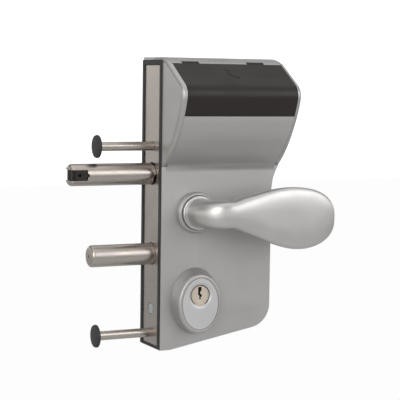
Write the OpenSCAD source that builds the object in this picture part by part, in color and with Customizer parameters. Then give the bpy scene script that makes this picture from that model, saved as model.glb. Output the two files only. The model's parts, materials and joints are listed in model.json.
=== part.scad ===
// Push-button code lock for a gate, screwed to the side of a square gate post.
// The X = 0 plane is the face against the post and the bolts leave towards -X.
// Y = 0 is the middle of the case, with the keypad side at -Y, and Z = 0 is the handle axis.

/* [Case] */
// Half of the case's thickness
half_depth = 21; // [20:0.5:22]
// Wall of the covers
wall = 2.5; // [2:0.1:2.8]
// Right edge of the plate below the head
plate_right = 109.5; // [108:0.5:110]
// Bottom edge of the plate at the post
plate_bottom = -120.8; // [-122:0.1:-120]
// Slant of the bottom edge, in degrees
bottom_slant = 10.4; // [8:0.1:11]
// Radius of the lower right corner
corner_radius = 21; // [18:0.5:22]
// Right side of the head
head_right = 116.4; // [116:0.1:118]
// Top of the head
head_top = 135; // [134.8:0.1:135.2]
// Thickness of the gasket between the case and the post
gasket = 1; // [0.8:0.1:1.2]

/* [Keypad] */
// Slope of the keypad panel, in degrees
keypad_slope = 50; // [49:0.5:51]
// Distance between button columns
button_pitch = 15.5; // [14.5:0.1:16]
// Radius of a button
button_radius = 5.5; // [5:0.1:5.8]
// Travel of a button
button_travel = 2.2; // [1.5:0.1:2.2]

/* [Handles] */
// Mid-plane of the lever in front of the case
lever_reach = 60; // [58:0.5:62]
// Tip of the lever, measured from the post
lever_tip = 152; // [148:0.5:154]
// Greatest half height of the lever's paddle
paddle_half = 27.5; // [26:0.5:28]
// Side of the square spindle
spindle_side = 8; // [7:1:8]

/* [Bolts] */
// Radius of the latch bolt and of the dead bolt
bolt_radius = 9.6; // [9.5:0.05:9.65]
// Height of the latch bolt
latch_z = 33.2; // [33:0.1:33.4]
// Height of the dead bolt
deadbolt_z = -37.6; // [-38:0.1:-37]
// Tip of the latch bolt
latch_tip = -77.5; // [-80:0.5:-72]
// Tip of the dead bolt when it is drawn in
deadbolt_tip = -58; // [-60:0.5:-54]
// Width of the gate post that the bolts pass through
post_width = 50; // [40:10:50]

/* [Cylinder] */
// Backset, from the post to the spindle and the cylinder
backset = 33.7; // [33.5:0.1:34]
// Height of the profile cylinder's plug
cylinder_z = -72; // [-72.2:0.1:-71.8]
// Half length of the profile cylinder
cylinder_half = 33; // [32:0.5:33]
// Radius of the plug
plug_radius = 7.5; // [7.3:0.1:7.5]

/* [Hidden] */
$fn = 64;
gap = 0.3;
running = 0.06;
cap_width = 4.4;
post_cap = 3;
fixing_z = [57.4, -107.8];
button_count = 12;
columns = 6;
row_y = [-12, -28];
keypad_centre_x = (gasket + head_right) / 2;
head_left_x = gasket + cap_width + 0.2;
head_right_x = head_right - cap_width - 0.2;
silver = "#b9babb";
bright = "#cfd0d1";
steel = "#a39c94";
black = "#242424";
nickel = "#c9b9a6";

// ---- helpers ----

// Points of an arc, from angle a0 to a1
function arc(c, r, a0, a1, n = 12) = [
    for (i = [0:n]) c + r * [cos(a0 + (a1 - a0) * i / n), sin(a0 + (a1 - a0) * i / n)]];
function reversed(list) = [for (i = [len(list) - 1:-1:0]) list[i]];
function smooth(t) = let (u = min(max(t, 0), 1)) u * u * (3 - 2 * u);
function power(v, p) = sign(v) * pow(abs(v), p);

// A flat shape in X and Z, made solid from y0 to y1
module slab_y(y0, y1) {
    translate([0, y1, 0]) rotate([90, 0, 0]) linear_extrude(y1 - y0) children();
}
// A flat shape in Y and Z, made solid from x0 to x1
module slab_x(x0, x1) {
    translate([x0, 0, 0]) rotate([90, 0, 90]) linear_extrude(x1 - x0) children();
}
module rod_x(x0, x1, r, y = 0, z = 0) {
    translate([x0, y, z]) rotate([0, 90, 0]) cylinder(h = x1 - x0, r = r);
}
module rod_y(y0, y1, r, x = 0, z = 0) {
    translate([x, y1, z]) rotate([90, 0, 0]) cylinder(h = y1 - y0, r = r);
}
module box(low, high) {
    translate(low) cube(high - low);
}
// A turned shape on an axis along -Y, from a profile of [radius, distance in front of Y = 0]
module turned(x, z, profile) {
    translate([x, 0, z]) rotate([90, 0, 0]) rotate_extrude() polygon(profile);
}
// A coil spring's envelope: one turned tube along local +Z with a ridge for each turn
module coil(radius, wire, length) {
    turns = max(2, round(length / (2 * wire)));
    step = length / turns / 2;
    rotate_extrude() polygon(concat(
        [for (i = [0:2 * turns]) [radius + wire * (i % 2 == 0 ? 0.5 : 1), i * step]],
        [for (i = [2 * turns:-1:0]) [radius - wire * (i % 2 == 0 ? 0.5 : 1), i * step]]));
}

// ---- outlines ----

// The plate seen from the front, moved in by d
slant = tan(bottom_slant);
slant_start = 10.5;
corner_x = plate_right - corner_radius;
corner_z = plate_bottom + (corner_x - slant_start) * slant + corner_radius / cos(bottom_slant);
flare_height = 24;
flare_out = head_right - plate_right;
flare_r = (flare_height * flare_height + flare_out * flare_out) / (2 * flare_out);
shoulder_z = 40.3;
flare_angle = asin(flare_height / flare_r);
function plate_outline(d, left) = concat(
    [[left, plate_bottom + d], [slant_start, plate_bottom + d]],
    arc([corner_x, corner_z], corner_radius - d, bottom_slant - 90, 0),
    arc([plate_right + flare_r, shoulder_z - flare_height], flare_r + d, 180, 180 - flare_angle),
    [[left, shoulder_z]]);
// The whole case seen from the front, plate and head
function case_outline(d, left) = concat(
    [for (p = plate_outline(d, left)) if (p != [left, shoulder_z]) p],
    [[head_right - d, head_top - d], [left, head_top - d]]);

// The head seen from the side: a flat top, a falling arc, the lid's straight slope,
// the nose and the long lower arc back to the plate. Every stretch is moved in by d.
lid_slope = 33;
top_arc = [-9.7, head_top - 42];
nose = [-49.9, 102.5];
belly = [50.6, 132.85];
belly_r = 117;
belly_start = 196.8;
crease_r = 10;
crease_angle = acos((half_depth + crease_r + belly[0]) / (belly_r + crease_r));
crease = [-half_depth - crease_r, belly[1] - (belly_r + crease_r) * sin(crease_angle)];
function top_points(d, y_end) = concat([[y_end, head_top - d]], arc(top_arc, 42 - d, 90, 90 + lid_slope));
function nose_points(d) = arc(nose, 12 - d, 90 + lid_slope, belly_start);
function belly_angle(d, z) = 180 + asin((belly[1] - z) / (belly_r - d));
function belly_points(d, z0, z1) = arc(belly, belly_r - d, belly_angle(d, z0), belly_angle(d, z1));
function cheek_profile(d, y_end, z_end) = concat(
    top_points(d, y_end), nose_points(d), belly_points(d, 98, shoulder_z + 0.2),
    [[-half_depth + d, z_end], [y_end, z_end]]);
// The same with the hollow crease where the head runs into the plate
function head_profile(d, y_end, z_end) = concat(
    top_points(d, y_end), nose_points(d), arc(belly, belly_r - d, belly_start + 1, 180 + crease_angle, 16),
    arc(crease, crease_r + d, crease_angle - 6, 0, 8), [[-half_depth + d, z_end], [y_end, z_end]]);

// ---- mounting side ----

module mounting_gasket() {
    color(black) difference() {
        box([0, -20.2, plate_bottom + 0.6], [gasket, 20.2, head_top - 2.4]);
        box([-1, -16.2, -118.2], [2, 16.2, 128.2]);
    }
}

face_x = gasket + 3;
module faceplate() {
    color(steel) difference() {
        union() {
            box([gasket, -16, -118], [face_x, 16, 128]);
            for (z = fixing_z) rod_x(face_x - 0.5, 24, 8, z = z);
        }
        for (z = [latch_z, deadbolt_z]) rod_x(0, 5, bolt_radius + 0.4, z = z);
        for (z = fixing_z) rod_x(0, 25, 4.1, z = z);
        rod_x(0, 5, 2.8, z = cylinder_z - 14.5);
        rod_x(0, gasket + 2.3, 5, z = cylinder_z - 14.5);
    }
}

// Profile cylinder seen from the front, grown by d
module cylinder_outline(d = 0) {
    translate([backset, cylinder_z]) circle(r = 8.5 + d);
    translate([backset - 5 - d, cylinder_z - 24.5 - d]) square([10 + 2 * d, 22]);
}

case_right = 92;
pillars = [[12, -4], [12, -94], [88, -90], [88, -28], [88, latch_z]];
module case_plate(y0, y1) {
    color(steel) difference() {
        box([face_x + 0.2, y0, -98], [case_right, y1, 48]);
        rod_y(y0 - 1, y1 + 1, 12 + running, backset, 0);
        slab_y(y0 - 1, y1 + 1) cylinder_outline(0.4);
        for (p = pillars) rod_y(y0 - 1, y1 + 1, 2.5 + running, p[0], p[1]);
    }
}
module front_case_plate() { case_plate(-15, -13); }
module rear_case_plate() { case_plate(13, 15); }
module case_pillars() {
    color(steel) for (p = pillars) {
        rod_y(-12.9, 12.9, 4, p[0], p[1]);
        rod_y(-15.8, 15.8, 2.5, p[0], p[1]);
    }
}
module bolt_guides() {
    color(black) for (z = [latch_z, deadbolt_z]) difference() {
        rod_x(face_x, 14, 11.6, z = z);
        rod_x(face_x - 1, 15, bolt_radius + running, z = z);
    }
}

module fixing_bolts() {
    color(steel) for (z = fixing_z) {
        difference() {
            union() {
                rod_x(-post_width, 22, 4, z = z);
                rod_x(-post_width - 2, -post_width, 7, z = z);
            }
            translate([-post_width - 3, 0, z]) rotate([0, 90, 0]) cylinder(h = 6, r = 2.9, $fn = 6);
        }
    }
}
module fixing_caps() {
    color(black) for (z = fixing_z) difference() {
        union() {
            rod_x(-post_width - 1.8, -post_width, 10, z = z);
            translate([-post_width - post_cap, 0, z]) rotate([0, 90, 0]) cylinder(h = 1.2, r1 = 8.6, r2 = 10);
        }
        rod_x(-post_width - 2.1, -post_width + 1, 7.2, z = z);
    }
}

// ---- covers and head ----

cover_screw_at = [[40, -107], [98, -88], [100, 12], [58, 62], [100, 62]];
split = 0.2;
hinge = [-27.7, 129.5];
hinge_pin_r = 1;
rail_r = 2.1;
knuckle_x = [[15.5, 31.3], [78.5, 94.6]];
seam = [-30.2, 129.8];
along = [-cos(lid_slope), -sin(lid_slope)];
seam_in = [sin(lid_slope), -cos(lid_slope)];
lid_bottom = 85.2;

// Spindle hole, cylinder hole and screw holes through a cover between y0 and y1
module cover_holes(y0, y1) {
    rod_y(y0, y1, 10.5, backset, 0);
    slab_y(y0, y1) cylinder_outline(0.4);
}
// The ribs that join the top of the head to its belly at both ends, behind the keypad panel
rib = 1.5;
rib_section = [
    [-17, 44.5], [-17, 133], [-20, 132.5], [-27.5, 126.5], [-27, 118.2], [-51.5, 86.4], [-53.5, 84.5],
    [-54.8, 83.2], [-39.5, 60], [-25, 46.5]];
module front_cover() {
    inner = half_depth - wall;
    color(silver) difference() {
        union() {
            difference() {
                union() {
                    slab_y(-half_depth, -split) polygon(plate_outline(0, gasket));
                    slab_x(head_left_x, head_right_x) polygon(head_profile(0, -split, 34));
                }
                slab_y(-inner, 1) polygon(plate_outline(wall, gasket + wall));
                box([0, -16.3, plate_bottom + wall], [gasket + wall + 1, 1, shoulder_z + 1]);
                slab_x(head_left_x - 0.01, head_right_x + 0.01) polygon(head_profile(wall, 1, 33.9));
                slab_x(0, head_right + 1) polygon([
                    seam - 0.2 * along, seam - 0.2 * along + [-8, 12], [-90, 140], [-90, lid_bottom - gap],
                    [-45, lid_bottom - gap], [-28.5, 118], seam - 0.2 * along + 2.7 * seam_in]);
            }
            slab_x(head_left_x, head_left_x + rib) polygon(rib_section);
            slab_x(head_right_x - rib, head_right_x) polygon(rib_section);
            intersection() {
                rod_x(head_left_x, head_right_x, rail_r, hinge[0], hinge[1]);
                slab_x(0, head_right) polygon(head_profile(0, -split, 34));
                slab_x(0, head_right) polygon([
                    seam - 0.2 * along, seam - 0.2 * along + 10 * seam_in, [0, 120], [0, 140],
                    seam + [0, 8]]);
            }
            intersection() {
                for (p = cover_screw_at) rod_y(p[1] > shoulder_z ? -45 : -inner - 0.5, -0.5, 4, p[0], p[1]);
                union() {
                    slab_x(head_left_x, head_right_x) polygon(head_profile(1, 0, 34));
                    slab_y(1 - half_depth, 0) polygon(plate_outline(1, gasket));
                }
            }
        }
        for (k = knuckle_x) rod_x(k[0] - gap, k[1] + gap, 2.5, hinge[0], hinge[1]);
        rod_x(0, head_right, hinge_pin_r + 0.03, hinge[0], hinge[1]);
        for (p = cover_screw_at) rod_y(-12, 0, 2 + running, p[0], p[1]);
        cover_holes(-half_depth - 1, -inner + 1);
    }
}
module rear_cover() {
    inner = half_depth - wall;
    color(silver) difference() {
        union() {
            difference() {
                slab_y(split, half_depth) polygon(case_outline(0, gasket));
                slab_y(-1, inner) polygon(case_outline(wall, gasket + wall));
                box([0, -1, plate_bottom + wall], [gasket + wall + 1, 16.3, head_top - wall]);
            }
            for (p = cover_screw_at) rod_y(0.5, inner + 0.5, 4, p[0], p[1]);
        }
        for (p = cover_screw_at) {
            rod_y(0, half_depth + 1, 2 + running, p[0], p[1]);
            rod_y(half_depth - 2.2, half_depth + 1, 4.1, p[0], p[1]);
        }
        cover_holes(inner - 1, half_depth + 1);
    }
}
module cover_screws() {
    color(steel) for (p = cover_screw_at) difference() {
        union() {
            rod_y(-11, half_depth - 1, 2, p[0], p[1]);
            rod_y(half_depth - 2.1, half_depth - 0.2, 3.9, p[0], p[1]);
        }
        translate([p[0], half_depth - 1.4, p[1]]) rotate([-90, 0, 0]) cylinder(h = 3, r = 1.5, $fn = 6);
    }
}
// A cheek of the head between x0 and x1, with the hinge pin's blind hole between pin0 and pin1
module end_cap(x0, x1, pin0, pin1) {
    difference() {
        slab_x(x0, x1) polygon(cheek_profile(0, -split, shoulder_z + 0.3));
        rod_x(pin0, pin1, hinge_pin_r + 0.03, hinge[0], hinge[1]);
    }
}
module left_end_cap() {
    color(silver) difference() {
        end_cap(gasket, gasket + cap_width, gasket + 1.2, gasket + cap_width + 1);
        box([0, -16.3, 40], [gasket + cap_width + 1, 1, 128.3]);
    }
}
module right_end_cap() {
    color(silver) end_cap(head_right - cap_width, head_right, head_right - cap_width - 1, head_right - 1.2);
}

// ---- lid ----

lid_section = concat(
    [seam + 0.5 * along], nose_points(0), belly_points(0, 98, lid_bottom),
    reversed(belly_points(wall, 98, lid_bottom)), reversed(nose_points(wall)),
    [seam + 0.5 * along + wall * seam_in]);
module lid() {
    color(black) difference() {
        union() {
            slab_x(head_left_x + 0.2, head_right_x - 0.2) polygon(lid_section);
            for (k = knuckle_x) {
                rod_x(k[0], k[1], 1.9, hinge[0], hinge[1]);
                translate([k[0] + 0.3, hinge[0], hinge[1]]) rotate([-180 + lid_slope, 0, 0])
                    translate([0, 1.3, -1.3]) cube([k[1] - k[0] - 0.6, 3.2, 1.9]);
            }
        }
        rod_x(0, head_right, hinge_pin_r + running, hinge[0], hinge[1]);
    }
}
module lid_hinge_pin() {
    color(steel) rod_x(gasket + 1.4, head_right - 1.4, hinge_pin_r, hinge[0], hinge[1]);
}

// ---- keypad ----

panel_top = [-27.5, 118.5];
panel_t = 3;
// Puts a child on the keypad: local X runs along the lock, local Y up the slope, local Z out of the panel
module on_keypad() {
    translate([0, panel_top[0], panel_top[1]]) rotate([keypad_slope, 0, 0]) children();
}
function button_x(i) = keypad_centre_x + ((i - 1) % columns - (columns - 1) / 2) * button_pitch;
function button_y(i) = row_y[floor((i - 1) / columns)];

// The panel's section: the slope, and above it the lip behind the hinge
down = [-cos(keypad_slope), -sin(keypad_slope)];
inward = [sin(keypad_slope), -cos(keypad_slope)];
lip_back = panel_top[0] + panel_t;
panel_section = [
    [panel_top[0], 124.8], panel_top, panel_top + 40.3 * down, panel_top + 40.3 * down + panel_t * inward,
    [lip_back, panel_top[1] + panel_t * tan(keypad_slope) - panel_t / cos(keypad_slope)], [lip_back, 124.8]];
module keypad_panel() {
    color("#8d8f91") difference() {
        slab_x(head_left_x + rib + 0.2, head_right_x - rib - 0.2) polygon(panel_section);
        for (i = [1:button_count]) on_keypad()
            translate([button_x(i), button_y(i), -panel_t - 1]) cylinder(h = 6, r = button_radius + gap);
    }
}
flange_z = -5;
module push_button(i) {
    color(bright) on_keypad() translate([button_x(i), button_y(i), 0]) {
        translate([0, 0, -panel_t - 0.3]) cylinder(h = panel_t + 3.7, r = button_radius);
        translate([0, 0, 3.4]) cylinder(h = 0.8, r1 = button_radius, r2 = button_radius - 0.8);
        translate([0, 0, flange_z]) cylinder(h = 1.7, r = button_radius + 1.2);
        translate([0, 0, flange_z - 9]) cylinder(h = 9.5, r = 2);
    }
}
chamber_low = [12, -38, -22];
chamber_high = [105.4, -2, flange_z - button_travel - 2.8];
module code_chamber() {
    color(steel) difference() {
        on_keypad() box(chamber_low + [0, 0, 1.6], chamber_high);
        on_keypad() box(chamber_low + [1.5, 1.5, 0], chamber_high - [1.5, 1.5, 1.5]);
        for (i = [1:button_count]) on_keypad()
            translate([button_x(i), button_y(i), -20]) cylinder(h = 15, r = 2.4);
    }
}
module code_chamber_cover() {
    color(steel) on_keypad() box(chamber_low, [chamber_high[0], chamber_high[1], chamber_low[2] + 1.5]);
}
module code_tumblers() {
    color(nickel) for (i = [1:button_count]) on_keypad() translate([button_x(i), button_y(i), -20.4]) {
        cylinder(h = 3.6, r = 1.6);
        translate([-5, -2.5, 0]) cube([10, 5, 2.4]);
    }
}
module button_springs() {
    color(steel) for (i = [1:button_count]) on_keypad()
        translate([button_x(i), button_y(i), chamber_high[2] + 0.05]) coil(4.2, 0.4, 2.5);
}
link_y = [-12.7, -11.3];
module clutch_link() {
    color(steel) difference() {
        box([backset - 5, link_y[0], 13], [backset + 5, link_y[1], 99]);
        rod_y(link_y[0] - 1, link_y[1] + 1, 2, backset, 60);
        rod_y(link_y[0] - 1, link_y[1] + 1, 2, backset, 90);
    }
}

// ---- handles ----

flange_r = 15.1;
neck_r = 12.4;
neck_end = 42;
bend_r = lever_reach - neck_end;
bend_x = backset + bend_r;
paddle_x = 113;
lever_sides = 28;
// One ring of the lever: across is its half depth, up its half height, rise the height of its middle
function lever_ring(x, y, turn, across, up, rise) = [for (k = [0:lever_sides - 1])
    let (a = 360 * k / lever_sides, s = across * power(cos(a), 0.86), u = up * power(sin(a), 0.86))
    [x + s * cos(turn), -y + s * sin(turn), u + rise]];
function lever_half(x) = x < paddle_x
    ? 12 + (paddle_half - 12) * smooth((x - 38) / (paddle_x - 38))
    : paddle_half * pow(1 - pow((x - paddle_x) / (lever_tip - paddle_x), 2.2), 1 / 2.2);
function lever_rise(x) = 1.2 - 5.5 * smooth((x - 45) / 80);
function lever_depth(x) = x < paddle_x
    ? 9.6 - 2.1 * smooth((x - bend_x) / 50)
    : 7.5 * pow(1 - pow((x - paddle_x) / (lever_tip - paddle_x), 3.4), 0.5);
lever_rings = concat(
    [for (y = [29, 36]) lever_ring(backset, y, 0, neck_r, neck_r, 0.3 * (y - 29) / 7)],
    [for (i = [0:8]) let (t = i / 8, a = 90 * t)
        lever_ring(bend_x - bend_r * cos(a), neck_end + bend_r * sin(a), a,
                   neck_r + (9.6 - neck_r) * smooth(t), neck_r - 0.4 * t, 0.3 + 0.85 * t)],
    [for (i = [1:12]) let (x = bend_x + (paddle_x - bend_x) * i / 12)
        lever_ring(x, lever_reach, 90, lever_depth(x), lever_half(x), lever_rise(x))],
    [for (i = [1:10]) let (x = paddle_x + (lever_tip - paddle_x) * sin(8.4 * i))
        lever_ring(x, lever_reach, 90, lever_depth(x), lever_half(x), lever_rise(x))]);
module lever() {
    rings = len(lever_rings);
    n = lever_sides;
    polyhedron(
        points = [for (r = lever_rings) for (p = r) p],
        faces = concat(
            [[for (k = [0:n - 1]) k]],
            [for (j = [0:rings - 2]) for (k = [0:n - 1]) [j * n + k, (j + 1) * n + k, (j + 1) * n + (k + 1) % n]],
            [for (j = [0:rings - 2]) for (k = [0:n - 1])
                [j * n + k, (j + 1) * n + (k + 1) % n, j * n + (k + 1) % n]],
            [[for (k = [n - 1:-1:0]) (rings - 1) * n + k]]));
}
grub_y = 35;
module handle() {
    color(bright) difference() {
        union() {
            lever();
            turned(backset, 0, [[0, 22.3], [flange_r - 0.6, 22.3], [flange_r, 23], [flange_r, 28.7],
                                [flange_r - 0.9, 29.6], [neck_r - 0.5, 29.9], [neck_r - 0.5, 31], [0, 31]]);
        }
        translate([backset - spindle_side / 2 - 0.1, -43, -spindle_side / 2 - 0.1])
            cube([spindle_side + 0.2, 22, spindle_side + 0.2]);
        translate([backset, -grub_y, -20]) cylinder(h = 18, r = 2.5 + running);
    }
}
module front_handle() { handle(); }
module rear_handle() { mirror([0, 1, 0]) handle(); }
module grub_screw() {
    color(black) difference() {
        translate([backset, -grub_y, -11.6]) cylinder(h = 7.4, r = 2.5);
        translate([backset, -grub_y, -12]) cylinder(h = 3, r = 1.25, $fn = 6);
    }
}
module front_grub_screw() { grub_screw(); }
module rear_grub_screw() { mirror([0, 1, 0]) grub_screw(); }
module handle_collar() {
    color(silver) turned(backset, 0, [
        [flange_r + gap, half_depth], [18.3, half_depth], [18.3, 24.6], [17.6, 26.4], [16.6, 27],
        [flange_r + gap, 27]]);
}
module front_handle_collar() { handle_collar(); }
module rear_handle_collar() { mirror([0, 1, 0]) handle_collar(); }

journal_r = 9;
module clutch_driver() {
    half = spindle_side / 2;
    color(steel) {
        box([backset - half, -42, -half], [backset + half, -5.2, half]);
        rod_y(-15.2, -10.5, journal_r, backset, 0);
        rod_y(-11, -5.2, 12, backset, 0);
    }
}
module rear_spindle() {
    half = spindle_side / 2;
    color(steel) box([backset - half, -3, -half], [backset + half, 42, half]);
}
arm_length = latch_z;
module follower() {
    hole = spindle_side / 2 + 0.08;
    color(steel) difference() {
        union() {
            rod_y(-4.9, 15.2, journal_r, backset, 0);
            box([backset - 3.5, -3, 0], [backset + 3.5, 3, arm_length]);
            rod_y(-3, 3, 4.2, backset, arm_length);
        }
        box([backset - hole, -6, -hole], [backset + hole, 16, hole]);
    }
}
module spindle_bushes() {
    color(black) for (side = [-1, 1]) {
        y0 = side < 0 ? -15.6 : 12.9;
        difference() {
            rod_y(y0, y0 + 2.7, 12, backset, 0);
            rod_y(y0 - 1, y0 + 4, journal_r + running, backset, 0);
        }
    }
}
module handle_spring() {
    color(steel) translate([backset, 12.4, 0]) rotate([90, 0, 0]) coil(10.4, 0.7, 8.4);
}

// ---- latch bolt ----

slot_half = 4.6;
slot_end = -62.5;
module latch_bolt() {
    color(steel) translate([0, 0, latch_z]) difference() {
        union() {
            rod_x(latch_tip + 4, -1, bolt_radius);
            rod_x(-2, 3, bolt_radius - 0.3);
            translate([latch_tip, 0, 0]) rotate([0, 90, 0]) cylinder(h = 4, r1 = bolt_radius - 3, r2 = bolt_radius);
        }
        box([latch_tip - 1, -12, -slot_half], [slot_end, 12, slot_half]);
        rod_x(-24, 4, 5.05);
        translate([-69.5, 0, -12]) cylinder(h = 24, r = 1.5 + 0.03);
        rod_y(-12, 12, 1.6, slot_end, 0);
    }
}
module latch_insert() {
    half = slot_half - 0.1;
    color(black) translate([0, 0, latch_z]) difference() {
        union() {
            box([latch_tip + 4, -8, -half], [slot_end - 0.5, 8, half]);
            translate([latch_tip + 4.4, 0, -half]) intersection() {
                cylinder(h = 2 * half, r = 4.6);
                translate([-6, -8, 0]) cube([6.5, 16, 2 * half]);
            }
        }
        translate([-69.5, 0, -12]) cylinder(h = 24, r = 1.5 + 0.03);
        rod_y(-9, -5, 1.4, -69.5, 0);
    }
}
module latch_insert_pin() {
    color(steel) translate([-69.5, 0, latch_z - bolt_radius + 0.3]) cylinder(h = 2 * bolt_radius - 0.6, r = 1.5);
}
carriage_x = backset - 9.7;
module latch_carriage() {
    color(steel) translate([0, 0, latch_z]) difference() {
        union() {
            rod_x(-22, carriage_x + 0.5, 5);
            box([carriage_x, -8, -6.2], [carriage_x + 20, 8, 9.8]);
        }
        box([backset - 4.9, -3.6, -8], [backset + 4.9, 3.6, 5.3]);
    }
}
module latch_spring() {
    spring_x = carriage_x + 20.2;
    color(steel) translate([spring_x, 0, latch_z]) rotate([0, 90, 0]) coil(5, 0.7, 83.8 - spring_x);
}

// ---- dead bolt ----

module deadbolt() {
    color(steel) translate([0, 0, deadbolt_z]) difference() {
        union() {
            rod_x(deadbolt_tip + 3, -1, bolt_radius);
            rod_x(-2, 26, bolt_radius - 0.3);
            translate([deadbolt_tip + 3, 0, 0]) rotate([0, -90, 0]) rotate_extrude()
                polygon(concat([[0, 0]], arc([bolt_radius - 3, 0], 3, 0, 90, 8), [[0, 3]]));
        }
        rod_x(deadbolt_tip - 1, deadbolt_tip + 3, 1.3);
        rod_x(0, 27, 5.05);
    }
}
notch_x = backset + 10;
notch_half = 5;
module deadbolt_carriage() {
    color(steel) difference() {
        union() {
            rod_x(1, 27, 5, z = deadbolt_z);
            box([26.2, -5, deadbolt_z - 7.4], [notch_x + 9, 5, deadbolt_z + 7.4]);
            box([notch_x - notch_half - 3.4, -4, -63.2], [notch_x + notch_half + 3.4, 4, deadbolt_z - 7]);
        }
        box([notch_x - notch_half, -5, -66], [notch_x + notch_half, 5, -56.2]);
    }
}

// ---- profile cylinder ----

screw_z = cylinder_z - 14.5;
module cylinder_body() {
    color(nickel) difference() {
        slab_y(-cylinder_half, cylinder_half) difference() {
            cylinder_outline();
            translate([backset, cylinder_z]) circle(r = plug_radius + running);
        }
        box([backset - 10, -5, cylinder_z - 9.2], [backset + 10, 5, cylinder_z + 10]);
        rod_x(backset - 6, backset + 6, 2.5 + running, z = screw_z);
    }
}
module cylinder_screw() {
    color(steel) difference() {
        union() {
            rod_x(gasket + 0.6, backset + 3, 2.5, z = screw_z);
            translate([gasket + 0.2, 0, screw_z]) rotate([0, 90, 0]) cylinder(h = 2, r1 = 4.6, r2 = 2.6);
        }
        box([0, -3, screw_z - 0.5], [gasket + 1.1, 3, screw_z + 0.5]);
    }
}
// The plug and its keyway, whose step keeps any other key out
module plug() {
    color(nickel) difference() {
        rod_y(-cylinder_half, -5.1, plug_radius, backset, cylinder_z);
        slab_y(-cylinder_half - 1, -7) translate([backset, cylinder_z]) polygon([
            [-1.9, 8], [1.3, 8], [1.3, 4.6], [0.1, 3.2], [0.1, 1.4], [1.7, 0.6], [1.7, -0.8], [0.6, -1.4],
            [0.6, -3.6], [-0.8, -3.6], [-0.8, -0.2], [-1.9, 0.8]]);
    }
}
module front_plug() { plug(); }
module rear_plug() { mirror([0, 1, 0]) plug(); }
cam_turn = 55;
module cylinder_cam() {
    color(steel) translate([backset, 0, cylinder_z]) rotate([0, cam_turn, 0]) {
        rod_y(-4.8, 4.8, 8.4);
        rod_y(-4, 4, 4, 0, 11.5);
        box([-3, -4, 0], [3, 4, 11.5]);
    }
}

// ---- rosettes ----

rose_base = [22.8, 29.3];
rose_face = [19.4, 24.9];
rose_drop = [-78, -79.4];
rose_front = 34.4;
disc_half = [17.3, 22.7];
module oval(half, z, y0, y1) {
    slab_y(y0, y1) translate([backset, z]) scale([half[0], half[1]]) circle(r = 1, $fn = 48);
}
module rosette_body(front) {
    difference() {
        hull() {
            oval(rose_base, rose_drop[0], -half_depth - 2, -half_depth);
            oval(rose_face + [1.5, 1.8], rose_drop[1], 2.2 - front, 3 - front);
            oval(rose_face, rose_drop[1], -front, 1 - front);
        }
        rod_y(-front - 1, -half_depth + 1, 9.25, backset, cylinder_z);
        box([backset - 5.5, -front + 1.2, cylinder_z - 25.2], [backset + 5.5, -half_depth + 1, cylinder_z]);
    }
}
module front_rosette() {
    color(silver) difference() {
        rosette_body(rose_front);
        oval(disc_half + [0.25, 0.25], rose_drop[1], -rose_front - 1, -rose_front + 1.25);
    }
}
module front_rosette_disc() {
    color(bright) difference() {
        oval(disc_half, rose_drop[1], -rose_front, -rose_front + 1.15);
        rod_y(-rose_front - 1, -rose_front + 2, 9.25, backset, cylinder_z);
        translate([backset, -rose_front + 1.1, cylinder_z]) rotate([90, 0, 0]) cylinder(h = 1.2, r1 = 9.3, r2 = 11.1);
    }
}
module rear_rosette() {
    color(silver) mirror([0, 1, 0]) rosette_body(rose_front);
}

// ---- what is drawn ----

mounting_gasket();
faceplate();
front_case_plate();
rear_case_plate();
case_pillars();
bolt_guides();
fixing_bolts();
fixing_caps();
front_cover();
rear_cover();
left_end_cap();
right_end_cap();
lid();
lid_hinge_pin();
keypad_panel();
code_chamber();
code_chamber_cover();
code_tumblers();
button_springs();
clutch_link();
for (i = [1:button_count]) push_button(i);
front_handle_collar();
rear_handle_collar();
front_handle();
rear_handle();
front_grub_screw();
rear_grub_screw();
clutch_driver();
rear_spindle();
follower();
spindle_bushes();
handle_spring();
latch_bolt();
latch_insert();
latch_insert_pin();
latch_carriage();
latch_spring();
deadbolt();
deadbolt_carriage();
cylinder_body();
cylinder_screw();
cylinder_cam();
front_plug();
rear_plug();
front_rosette();
front_rosette_disc();
rear_rosette();
cover_screws();
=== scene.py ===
# %% [markdown]
# # A keypad lock for a metal gate
#
# The lock is screwed to the side of a square gate post. A silver housing carries a lever handle, an oval
# cylinder rosette and, under a black flip-up lid, a push-button keypad. Two steel bolts leave it at the
# left.
#
# The measured parts come first, from the shared frame. Everything after this gives them their look.

# %% Load the measured frame
import json
from math import cos, radians, sin

import bmesh
import bpy
from mathutils import Matrix, Vector

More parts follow.
